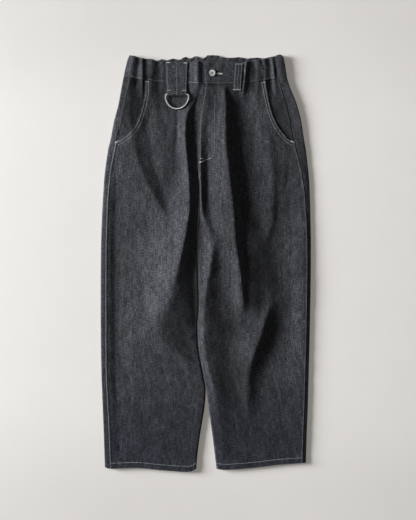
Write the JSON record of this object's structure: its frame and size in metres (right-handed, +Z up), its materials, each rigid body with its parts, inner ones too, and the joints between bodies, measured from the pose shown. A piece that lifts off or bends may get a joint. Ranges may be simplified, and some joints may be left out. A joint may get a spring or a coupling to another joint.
{
  "type": "wide-leg jeans",
  "caption": "Wide-leg cropped jeans laid flat, with a gathered waistband, curved front pockets, a buttoned fly, and a ring hanging in a wide tab.",
  "frame": {"origin": "middle of the garment's bounding box, on the surface that it lies on", "axes": "+Z up off the surface, out of the garment's front; +Y from the hems to the waistband; +X to the right as seen from above"},
  "size_m": [0.483, 0.9567, 0.027],
  "materials": {
    "denim": "matte raw twill with pale flecks",
    "facing_denim": "matte raw twill",
    "ring_metal": "bright nickelled",
    "button_metal": "satin nickelled"
  },
  "bodies": {
    "garment": {"front_left": "denim", "front_right": "denim", "back_left": "denim", "back_right": "denim", "pocket_facing_left": "facing_denim", "pocket_facing_right": "facing_denim", "waistband_front_left": "denim", "waistband_front_right": "denim", "waistband_back": "denim", "belt_loop": "denim", "ring_tab": "denim", "button": "button_metal"},
    "ring": {"d_ring": "ring_metal"}
  },
  "joints": [
    {"name": "ring_swing", "type": "hinge", "parent": "garment", "child": "ring", "pos_m": [-0.06637, 0.38717, 0.01238], "axis": [-1, 0, 0], "range_deg": [0, 150]}
  ]
}
